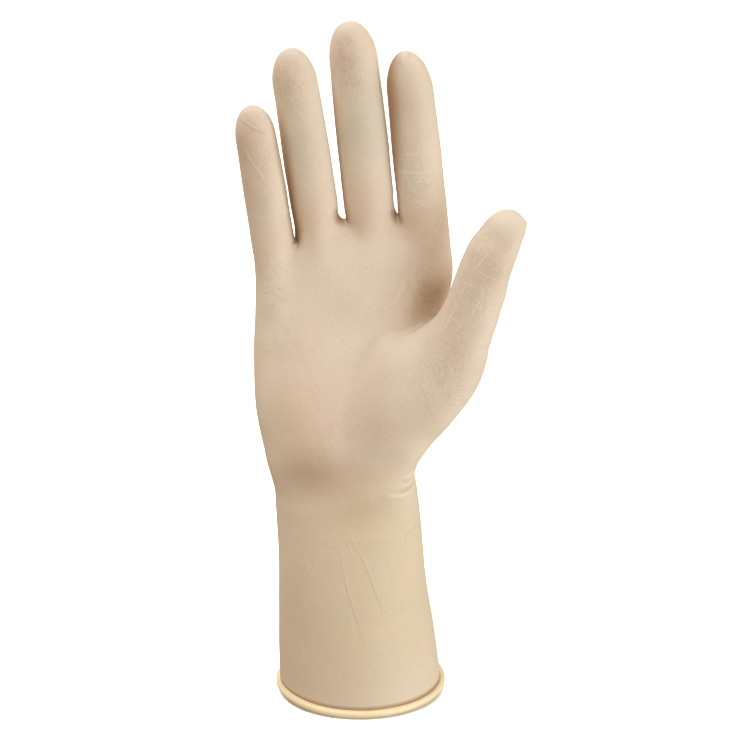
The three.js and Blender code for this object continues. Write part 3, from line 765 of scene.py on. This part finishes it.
@dataclass
class GloveFilm(DressedPiece):
    """The dipped film, outer face and lining in one. Sizes are in millimetres.

    Faces within the fine margins of a fold narrower than the fine reach are parted again. The mouth shade
    holds how high the band of painted shade at the mouth starts to fade, and over what height; the band is
    partly painted shade where the film tucks into the bead and partly a darker film tone.
    """

    node: str = "glove_film"
    slot: str = "latex_film"
    edge_drop: float = 2.1
    web_height: float = 212.0
    outer_levels: int = 2
    lining_levels: int = 1
    folds: tuple[Fold, ...] = FRONT_FOLDS
    pushes: tuple[Push, ...] = FORM_PUSHES
    fine_margins: tuple[float, ...] = (2.6, 1.5)
    fine_reach: float = 2.0
    shelter_reach: float = 24.0
    shelter_ways: int = 22
    cuff_line: float = 76.0
    cuff_line_reach: float = 0.8
    cuff_line_height: float = 0.05
    cuff_line_tint: float = 0.25
    mouth_slope: float = 0.07
    mouth_shade: tuple[float, float] = (3.2, 2.2)
    unevenness: float = 0.12

    def parts(self) -> tuple[bpy.types.Object, bpy.types.Object]:
        """Parts the model's wall into its outer face and its lining.

        Returns:
            The outer face and the lining, each an open mesh.
        """
        whole = copied(self.node, "dipped_film")
        facing = vectors(whole.data.polygons, "normal")
        # The lip is all that faces down near the mouth
        lip = (facing[:, 2] < -0.7) & (vectors(whole.data.polygons, "center")[:, 2] < 8 * MM)
        pick_faces(whole, lip)
        bpy.ops.mesh.delete(type="FACE")
        bpy.ops.mesh.select_all(action="SELECT")
        bpy.ops.mesh.separate(type="LOOSE")
        bpy.ops.object.mode_set(mode="OBJECT")
        lining, outer = sorted(bpy.context.selected_objects, key=lambda face: places(face)[:, 0].ptp())
        return outer, lining

    def refine(self, outer: bpy.types.Object, margin: float) -> None:
        """Parts the faces beside the fine folds once more.

        Args:
            outer: The outer face.
            margin: Distance from a fold's line, in millimetres.
        """
        middles = vectors(outer.data.polygons, "center")
        wanted = np.zeros(len(middles), bool)
        for fold in self.folds:
            if fold.reach < self.fine_reach:
                wanted |= fold.near(middles, margin)
        # The cuff's ring line needs them too, but not at the back
        ring = np.abs(middles[:, 2] - self.cuff_line * MM) < 0.6 * margin * MM
        wanted |= ring & (middles[:, 1] < 10 * MM)
        pick_faces(outer, wanted)
        bpy.ops.mesh.subdivide(number_cuts=1, smoothness=0, ngon=False, quadcorner="INNERVERT")
        bpy.ops.mesh.vertices_smooth(factor=0.5, repeat=2)
        bpy.ops.object.mode_set(mode="OBJECT")

    def push(self, face: bpy.types.Object) -> None:
        """Pushes one face of the film into its finer form.

        Args:
            face: The outer face or the lining.
        """
        spots = places(face)
        moved = spots.copy()
        for push in self.pushes:
            moved += push.patch.cover(spots)[:, None] * np.array(push.move) * MM
        put(face, moved)

    def folded(self, outer: bpy.types.Object) -> np.ndarray:
        """Works out what the folds do at each vertex.

        Args:
            outer: The outer face, at its full fineness.

        Returns:
            How far the film rises, in metres, how much painted highlight it takes and how much painted
            shade.
        """
        spots, facing = places(outer), facings(outer)
        tree = BVHTree.FromObject(outer, bpy.context.evaluated_depsgraph_get())
        rise, tint, shade = np.zeros((3, len(spots)))
        for fold in self.folds:
            LOG.debug("fold %s, %s mm high", fold.name, fold.height)
            depth = fold.laid_on(tree).depth(spots, facing)
            rise += depth * fold.height * MM
            tint += depth * fold.tint
            turned = np.clip(0.4 + 3 * fold.side * facing[:, 0], 0, 1) if fold.side else 1.0
            shade = np.maximum(shade, np.abs(depth) * fold.shade * turned)
        return np.array([rise, tint, shade])

    def ring_line(self, spots: np.ndarray) -> np.ndarray:
        """Works out how clearly the cuff's fine ring line shows at each spot."""
        away = np.abs(spots[:, 2] - self.cuff_line * MM) / (self.cuff_line_reach * MM)
        patchy = np.array([0.5 + noise.noise(Vector((p[0] * 70, p[1] * 70, 3))) for p in spots])
        return (1 - np.clip(away, 0, 1) ** 2) ** 2 * patchy

    def waves(self, spots: np.ndarray) -> np.ndarray:
        """Works out the film's soft unevenness at each spot, in metres, with none at the mouth."""
        waves = [noise.noise(Vector(p) * 55) + 0.4 * noise.noise(Vector(p) * 140) for p in spots]
        return np.array(waves) * self.unevenness * MM * eased((spots[:, 2] - 4 * MM) / (10 * MM))

    def shape(self, outer: bpy.types.Object) -> None:
        """Presses the folds into the outer face and marks on it what its finish reads.

        Args:
            outer: The outer face, at its full fineness.
        """
        spots, facing = places(outer), facings(outer)
        rise, tint, deeper = self.folded(outer)
        line = self.ring_line(spots)
        rise += self.cuff_line_height * MM * line + self.waves(spots)
        tint += self.cuff_line_tint * line
        # Painted shade where fingers shelter each other and in hollows, less on the sides above the webs
        # that face the light
        shelter = sheltered(outer, self.shelter_reach, self.shelter_ways)
        bright = np.clip(facing[:, 0] * 1.6 - 0.1, 0, 1) * (spots[:, 2] > self.web_height * MM)
        shade = np.clip((shelter - 0.18) / 0.45, 0, 0.85) * (1 - 0.85 * bright)
        shade = np.maximum(shade, deeper)
        for area in SHADED_AREAS:
            shade = 1 - (1 - shade) * (1 - area.cover(spots))
        put(outer, spots + rise[:, None] * facing)
        # Painted highlight on raised folds and the ring line, painted shade in sunk folds
        mark(outer, "fold_highlight_and_shade", tint)
        mark(outer, "shade", shade)
        for name, areas in AREAS.items():
            cover = sum(area.cover(spots) for area in areas)
            # Painted light on right-facing film above the webs where the fingers shelter it
            if name == "pale":
                cover = cover + bright * np.clip(shelter * 3, 0, 1)
            mark(outer, name, np.clip(cover, 0, 1))
        # Painted shade where the film tucks into the bead, partly a darker film tone
        hang = spots[:, 2] - self.mouth_slope * spots[:, 1]
        mark(outer, "mouth", 1 - eased((hang / MM - self.mouth_shade[0]) / self.mouth_shade[1]))

    def build(self) -> bpy.types.Object:
        """Builds the film in one closed piece.

        Returns:
            The film.
        """
        outer, lining = self.parts()
        drop = Vector((0, 0, -self.edge_drop * MM))
        lengthen(outer, drop)
        rounded(outer, self.outer_levels)
        self.push(outer)
        for margin in self.fine_margins:
            self.refine(outer, margin)
        self.shape(outer)
        lengthen(lining, drop)
        rounded(lining, self.lining_levels)
        self.push(lining)
        alone(outer)
        lining.select_set(True)
        bpy.ops.object.join()
        pick_open_edges(outer)
        bpy.ops.mesh.bridge_edge_loops()
        bpy.ops.object.mode_set(mode="OBJECT")
        bpy.ops.object.shade_smooth()
        outer.name = outer.data.name = "dipped_film"
        self.piece = outer
        return outer


@dataclass
class CuffBead(DressedPiece):
    """The film's rolled end: a round roll that runs round the mouth. Sizes are in millimetres."""

    node: str = "cuff_bead"
    slot: str = "latex_bead"
    thickness: float = 3.4
    round_steps: int = 190
    roll_steps: int = 24
    layers: int = 3
    layer_depth: float = 0.09
    waviness: float = 0.03

    def build(self) -> bpy.types.Object:
        """Rolls the bead round an oval that hangs lower at the front.

        Returns:
            The bead.
        """
        low, high = (np.array(corner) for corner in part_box(self.node))
        middle, size = (low + high) / 2, high - low
        thick = self.thickness * MM
        half = (size - thick) / 2
        bpy.ops.object.select_all(action="DESELECT")
        bpy.ops.mesh.primitive_torus_add(
            major_segments=self.round_steps, minor_segments=self.roll_steps, major_radius=1, minor_radius=0.1
        )
        piece = bpy.context.object
        piece.name = piece.data.name = "rolled_bead"
        ring = places(piece)
        way = np.arctan2(ring[:, 1], ring[:, 0])
        outward = np.hypot(ring[:, 0], ring[:, 1]) - 1
        roll = np.arctan2(ring[:, 2], outward)
        facing = np.stack([np.cos(way) / half[0], np.sin(way) / half[1]], axis=1)
        facing /= np.linalg.norm(facing, axis=1)[:, None]
        grooves = np.abs(np.sin(self.layers * roll / 2 + 0.5 * np.sin(2 * way) + 0.9)) ** 0.5
        radius = thick / 2 - self.layer_depth * MM * (1 - grooves)
        radius += self.waviness * MM * np.sin(5 * way + roll)
        spots = np.empty_like(ring)
        spots[:, 0] = middle[0] + half[0] * np.cos(way) + facing[:, 0] * radius * np.cos(roll)
        spots[:, 1] = middle[1] + half[1] * np.sin(way) + facing[:, 1] * radius * np.cos(roll)
        hang = half[2] / half[1]
        spots[:, 2] = middle[2] + hang * (spots[:, 1] - middle[1]) + radius * np.sin(roll)
        put(piece, spots)
        # The grooves take painted shade in the finish
        mark(piece, "groove", 1 - grooves)
        alone(piece)
        bpy.ops.object.shade_smooth()
        self.piece = piece
        return piece


# Finishes


class Reading:
    """A socket of a finish, which can be reckoned with like a number."""

    def __init__(self, nodes: "Nodes", socket: bpy.types.NodeSocket) -> None:
        """Holds the socket and the nodes that it belongs to."""
        self.nodes = nodes
        self.socket = socket

    def __add__(self, other: "Reading | float") -> "Reading":
        """Adds."""
        return self.nodes.reckon("ADD", self, other)

    def __radd__(self, other: float) -> "Reading":
        """Adds to a number."""
        return self.nodes.reckon("ADD", other, self)

    def __sub__(self, other: "Reading | float") -> "Reading":
        """Takes away."""
        return self.nodes.reckon("SUBTRACT", self, other)

    def __mul__(self, other: "Reading | float") -> "Reading":
        """Multiplies."""
        return self.nodes.reckon("MULTIPLY", self, other)


class Nodes:
    """The nodes of one finish."""

    def __init__(self, name: str) -> None:
        """Starts an empty finish.

        Args:
            name: The material's name.
        """
        self.material = bpy.data.materials.new(name)
        self.material.use_nodes = True
        self.tree = self.material.node_tree
        self.tree.nodes.clear()

    def add(
        self, kind: str, settings: dict | None = None, inputs: dict | None = None, output: int | str = 0
    ) -> Reading:
        """Adds a node.

        Args:
            kind: The node's type, without "ShaderNode".
            settings: The node's settings, by name.
            inputs: Values or readings for its sockets, by name or number.
            output: Which output is read.

        Returns:
            That output.
        """
        node = self.tree.nodes.new("ShaderNode" + kind)
        for key, value in (settings or {}).items():
            setattr(node, key, value)
        for key, value in (inputs or {}).items():
            if isinstance(value, Reading):
                self.tree.links.new(value.socket, node.inputs[key])
            else:
                node.inputs[key].default_value = value
        return Reading(self, node.outputs[output])

    def reckon(self, operation: str, *values: "Reading | float") -> Reading:
        """Adds a Math node.

        Args:
            operation: The node's operation.
            values: Its inputs in order.

        Returns:
            The result.
        """
        return self.add("Math", {"operation": operation}, dict(enumerate(values)))

    def mixed(
        self, share: "Reading | float", first: "Reading | Colour", second: "Reading | Colour"
    ) -> Reading:
        """Mixes two colours.

        Args:
            share: How much of the second colour there is.
            first: The first colour.
            second: The second colour.

        Returns:
            The mixed colour.
        """
        inputs = {0: share, 6: first, 7: second}
        return self.add("Mix", {"data_type": "RGBA"}, inputs, 2)

    def banded(self, value: Reading, low: float, high: float) -> Reading:
        """Spreads a span of values smoothly over 0 to 1.

        Args:
            value: The values.
            low: What becomes 0.
            high: What becomes 1.

        Returns:
            Values from 0 to 1.
        """
        settings = {"interpolation_type": "SMOOTHSTEP"}
        return self.add("MapRange", settings, {"Value": value, "From Min": low, "From Max": high})

    def cloud(self, place: Reading, scale: float, detail: float) -> Reading:
        """Adds a cloudy pattern.

        Args:
            place: Where each spot is.
            scale: How many clouds there are along a metre.
            detail: How many finer layers it has.

        Returns:
            Values round one half.
        """
        return self.add("TexNoise", {}, {"Vector": place, "Scale": scale, "Detail": detail})

    def held(self, name: str) -> Reading:
        """Reads a value that is stored at the vertices.

        Args:
            name: The attribute's name.

        Returns:
            The value.
        """
        return self.add("Attribute", {"attribute_name": name}, output="Fac")

    def show(self, shader: Reading) -> None:
        """Links a shader to the finish's surface.

        Args:
            shader: The shader.
        """
        end = self.tree.nodes.new("ShaderNodeOutputMaterial")
        self.tree.links.new(shader.socket, end.inputs["Surface"])

    def cover(self, piece: bpy.types.Object) -> None:
        """Gives the finish to a piece, in place of any other.

        Args:
            piece: A mesh object.
        """
        piece.data.materials.clear()
        piece.data.materials.append(self.material)


@dataclass(frozen=True)
class LatexFinish:
    """Satin natural latex, thin enough to shade from rosy to grey where it lies tight or loose."""

    name: str = "natural_latex"
    light: Colour = (0.735, 0.61, 0.505, 1)
    rosy: Colour = (0.715, 0.55, 0.44, 1)
    grey: Colour = (0.645, 0.58, 0.465, 1)
    # pale is paler film, also used as painted light on slopes and as painted highlight on raised folds
    pale: Colour = (0.83, 0.73, 0.61, 1)
    creamy: Colour = (0.645, 0.53, 0.36, 1)
    # deep is the colour of the painted shade
    deep: Colour = (0.38, 0.22, 0.115, 1)
    mauve: Colour = (0.50, 0.33, 0.30, 1)
    reddish: Colour = (0.62, 0.42, 0.36, 1)
    greenish: Colour = (0.56, 0.56, 0.42, 1)
    roughness: float = 0.5
    grain: float = 0.012
    wrinkle: float = 0.13
    unevenness: float = 0.10

    def wrinkles(self, nodes: Nodes, place: Reading) -> Reading:
        """Draws fine crossing lines, such as drawn latex shows.

        Args:
            nodes: The finish's nodes.
            place: Where each spot is.

        Returns:
            1 along the lines and 0 between them.
        """
        lines = None
        for lean, size, length in ((27, 2.2, 44), (-20, 2.6, 36), (74, 2.2, 20), (-58, 2.4, 24)):
            settings = {"vector_type": "TEXTURE"}
            stretched = {
                "Vector": place,
                "Rotation": (0, math.radians(lean), math.radians(lean / 3)),
                "Scale": (size * MM, size * MM, length * MM),
            }
            spot = nodes.add("Mapping", settings, stretched)
            cloud = nodes.cloud(spot, 1.0, 1.0)
            line = nodes.banded(nodes.reckon("ABSOLUTE", cloud - 0.5), 0.035, 0.0)
            lines = line if lines is None else nodes.reckon("MAXIMUM", lines, line)
        broken = nodes.cloud(place, 160.0, 2.0)
        return lines * nodes.banded(broken, 0.3, 0.55)

    def lay_on(self, piece: bpy.types.Object) -> None:
        """Makes the finish and gives it to a piece.

        Args:
            piece: The film, with its areas marked.
        """
        nodes = Nodes(self.name)
        place = nodes.add("TexCoord", output="Object")
        mottle = nodes.cloud(place, 90.0, 4.0)
        speckle = nodes.cloud(place, 1300.0, 3.0)
        blotch = nodes.cloud(place, 700.0, 3.0)
        stain = nodes.cloud(place, 330.0, 3.0)
        lines = self.wrinkles(nodes, place) * (0.25 + nodes.held("wrinkle") * 0.75)
        colour = self.light
        # Rosy and grey are the skin's tones through the film; pale is partly painted light and partly a
        # paler film tone
        for area, tone in (("rosy", self.rosy), ("grey", self.grey), ("pale", self.pale)):
            colour = nodes.mixed(nodes.held(area), colour, tone)
        colour = nodes.mixed(nodes.held("creamy") * 0.9, colour, self.creamy)
        colour = nodes.mixed(nodes.banded(mottle, 0.35, 0.75) * 0.12, colour, self.grey)
        colour = nodes.mixed(nodes.banded(speckle, 0.5, 0.72) * 0.22, colour, self.reddish)
        colour = nodes.mixed(nodes.banded(blotch, 0.5, 0.75) * 0.2, colour, self.greenish)
        stained = nodes.held("mauve") * nodes.banded(stain, 0.42, 0.68)
        colour = nodes.mixed(stained * 0.4, colour, self.mauve)
        colour = nodes.mixed(lines * 0.45, colour, self.pale)
        # Painted shade in sheltered places, along finger sides, under the heel and in the thumb's hollow
        colour = nodes.mixed(nodes.held("shade") * 0.92, colour, self.deep)
        # Painted highlight on raised folds, painted shade in sunk ones
        fold_highlight_and_shade = nodes.held("fold_highlight_and_shade")
        colour = nodes.mixed(nodes.banded(fold_highlight_and_shade, 0.05, 0.9) * 0.6, colour, self.pale)
        colour = nodes.mixed(nodes.banded(fold_highlight_and_shade, -0.05, -0.9) * 0.3, colour, self.deep)
        # Painted shade above the bead, partly a darker film tone
        colour = nodes.mixed(nodes.held("mouth"), colour, self.deep)
        lift = speckle * self.grain + mottle * self.unevenness + lines * self.wrinkle
        bump = nodes.add("Bump", {}, {"Strength": 1.0, "Distance": MM, "Height": lift}, "Normal")
        rough = self.roughness + mottle * 0.1
        inputs = {"Base Color": colour, "Roughness": rough, "Normal": bump, "IOR": 1.45}
        nodes.show(nodes.add("BsdfPrincipled", {}, inputs))
        nodes.cover(piece)


@dataclass(frozen=True)
class BeadFinish:
    """Rolled latex: many layers thick, so creamier and glossier than the film."""

    name: str = "rolled_latex"
    light: Colour = (0.91, 0.77, 0.53, 1)
    deep: Colour = (0.62, 0.43, 0.20, 1)
    roughness: float = 0.34

    def lay_on(self, piece: bpy.types.Object) -> None:
        """Makes the finish and gives it to a piece.

        Args:
            piece: The bead, with its grooves marked.
        """
        nodes = Nodes(self.name)
        place = nodes.add("TexCoord", output="Object")
        mottle = nodes.cloud(place, 120.0, 3.0)
        grain = nodes.cloud(place, 900.0, 2.0)
        groove = nodes.held("groove")
        # Painted shade in the grooves between the rolled layers
        colour = nodes.mixed(nodes.banded(groove, 0.1, 1.0) * 0.55, self.light, self.deep)
        colour = nodes.mixed(nodes.banded(mottle, 0.4, 0.8) * 0.15, colour, self.deep)
        bump = nodes.add("Bump", {}, {"Strength": 0.15, "Distance": 0.3 * MM, "Height": grain}, "Normal")
        rough = self.roughness + mottle * 0.12
        inputs = {"Base Color": colour, "Roughness": rough, "Normal": bump, "IOR": 1.48}
        nodes.show(nodes.add("BsdfPrincipled", {}, inputs))
        nodes.cover(piece)


@dataclass(frozen=True)
class FloorFinish:
    """Plain pale floor."""

    name: str = "pale_floor"
    colour: Colour = (0.92, 0.92, 0.92, 1)

    def lay_on(self, piece: bpy.types.Object) -> None:
        """Makes the finish and gives it to a piece.

        Args:
            piece: The floor.
        """
        nodes = Nodes(self.name)
        nodes.show(nodes.add("BsdfPrincipled", {}, {"Base Color": self.colour, "Roughness": 0.9}))
        nodes.cover(piece)


# Stage


@dataclass(frozen=True)
class SoftBox:
    """A square studio light, placed round the glove in degrees and metres.

    Without casts, it throws no shadow.
    """

    name: str
    azimuth: float
    elevation: float
    watts: float
    colour: Point
    casts: bool = True
    distance: float = 1.4
    side: float = 0.8

    def hang(self, target: Vector) -> None:
        """Hangs the light and turns it to the glove.

        Args:
            target: What it shines at.
        """
        turn, rise = math.radians(self.azimuth), math.radians(self.elevation)
        way = Vector((math.sin(turn) * math.cos(rise), -math.cos(turn) * math.cos(rise), math.sin(rise)))
        bpy.ops.object.light_add(type="AREA", location=target + way * self.distance)
        lamp = bpy.context.object
        lamp.name = self.name
        lamp.data.shape = "SQUARE"
        lamp.data.size = self.side
        lamp.data.energy = self.watts
        lamp.data.color = self.colour
        lamp.data.use_shadow = self.casts
        lamp.rotation_euler = way.to_track_quat("Z", "Y").to_euler()


@dataclass(frozen=True)
class Studio:
    """The floor, the lights and the camera."""

    target: Point = (6.2, 5.0, 141.0)
    distance: float = 1.0
    elevation: float = 17.0
    lens: float = 111.6
    floor_height: float = -2.6
    floor_side: float = 16.0
    surround: Colour = (0.45, 0.35, 0.23, 1)
    backdrop: Colour = (1, 1, 1, 1)
    floor_light: float = 3.6
    lights: tuple[SoftBox, ...] = (
        SoftBox("key_light", 42, -2, 8.5, (0.86, 1.0, 1.1)),
        SoftBox("low_light", -30, 4, 1.8, (1.0, 0.98, 0.92)),
        SoftBox("side_light", 80, 25, 3.6, (0.93, 1.0, 0.92)),
        SoftBox("fill_light", 76, -8, 4.0, (1.0, 1.0, 0.92), False),
        SoftBox("back_light", 180, 20, 6, (1.0, 1.0, 0.94)),
        SoftBox("top_light", -90, 65, 14.5, (0.9, 1.0, 1.06)),
    )

    def set_up(self) -> None:
        """Builds the floor and lights, and places the camera."""
        target = Vector(self.target) * MM
        bpy.ops.object.select_all(action="DESELECT")
        bpy.ops.mesh.primitive_plane_add(size=self.floor_side, location=(0, 0, self.floor_height * MM))
        floor = bpy.context.object
        floor.name = "pale_floor"
        FloorFinish().lay_on(floor)
        floor.visible_diffuse = floor.visible_glossy = floor.visible_shadow = False
        self.light_floor(floor)
        for light in self.lights:
            light.hang(target)
        self.surround_glove()
        rise = math.radians(self.elevation)
        back = Vector((0, -math.cos(rise), math.sin(rise)))
        bpy.ops.object.camera_add(location=target + back * self.distance)
        camera = bpy.context.object
        camera.name = "front_camera"
        camera.data.lens = self.lens
        camera.data.sensor_width = 36.0
        camera.data.clip_start = 0.05
        camera.rotation_euler = back.to_track_quat("Z", "Y").to_euler()
        bpy.context.scene.camera = camera
        bpy.context.scene.view_settings.view_transform = "Standard"

    def surround_glove(self) -> None:
        """Fills the studio with faint warm light and hangs a white backdrop behind it."""
        world = bpy.data.worlds.new("studio")
        world.use_nodes = True
        tree = world.node_tree
        warm = tree.nodes["Background"]
        white = tree.nodes.new("ShaderNodeBackground")
        ways = tree.nodes.new("ShaderNodeLightPath")
        both = tree.nodes.new("ShaderNodeMixShader")
        warm.inputs["Color"].default_value = self.surround
        white.inputs["Color"].default_value = self.backdrop
        tree.links.new(ways.outputs["Is Camera Ray"], both.inputs[0])
        tree.links.new(warm.outputs[0], both.inputs[1])
        tree.links.new(white.outputs[0], both.inputs[2])
        tree.links.new(both.outputs[0], tree.nodes["World Output"].inputs["Surface"])
        bpy.context.scene.world = world

    def light_floor(self, floor: bpy.types.Object) -> None:
        """Hangs a broad light that reaches the floor alone, so that it stays white to its far end.

        Args:
            floor: The floor.
        """
        bpy.ops.object.light_add(type="SUN", location=(0, 0, 1))
        lamp = bpy.context.object
        lamp.name = "floor_light"
        lamp.data.energy = self.floor_light
        lamp.data.angle = math.radians(70)
        lit = bpy.data.collections.new("floor_only")
        lit.objects.link(floor)
        lamp.light_linking.receiver_collection = lit


def main() -> None:
    """Builds the glove and its stage, piece by piece."""
    logging.basicConfig(level=logging.INFO, format="%(message)s")
    Studio().set_up()
    film = GloveFilm()
    film.build()
    film.dress(LatexFinish())
    bead = CuffBead()
    bead.build()
    bead.dress(BeadFinish())
    for part in (film, bead):
        LOG.info("%s: %d faces", part.piece.name, len(part.piece.data.polygons))


if __name__ == "__main__":
    main()
